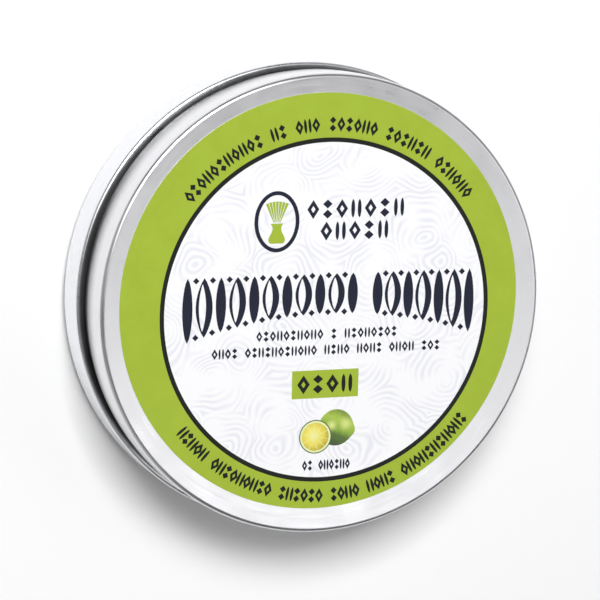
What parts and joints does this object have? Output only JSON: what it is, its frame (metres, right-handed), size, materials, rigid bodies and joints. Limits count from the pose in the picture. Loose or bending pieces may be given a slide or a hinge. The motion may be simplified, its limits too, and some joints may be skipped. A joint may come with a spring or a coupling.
{
  "type": "shaving soap tin",
  "caption": "Flat round aluminium screw-top tin filled with a poured cake of shaving soap, with a foam-lined lid and a round lid label.",
  "frame": {"origin": "middle of the foot, where the base rests", "axes": "+Z along the tin's axis towards the lid, +Y towards the top of the lid label, +X to the label's right"},
  "size_m": [0.0888, 0.0888, 0.0239],
  "materials": {
    "base_aluminium": "satin",
    "lid_aluminium": "satin",
    "soap": "matte",
    "liner_foam": "matte",
    "lid_label_vinyl": "satin",
    "base_label_paper": "satin"
  },
  "bodies": {
    "base": {"tin_base": "base_aluminium", "soap_puck": "soap", "base_label": "base_label_paper"},
    "liner": {"lid_liner": "liner_foam"},
    "lid": {"tin_lid": "lid_aluminium", "lid_label": "lid_label_vinyl"}
  },
  "joints": [
    {"name": "lid_lift", "type": "slide", "parent": "base", "child": "liner", "axis": [0, 0, 1], "range_m": [0, 0.04]},
    {"name": "lid_turn", "type": "hinge", "parent": "liner", "child": "lid", "pos_m": [0, 0, 0.0238], "axis": [0, 0, 1], "range_deg": [0, 450]}
  ]
}
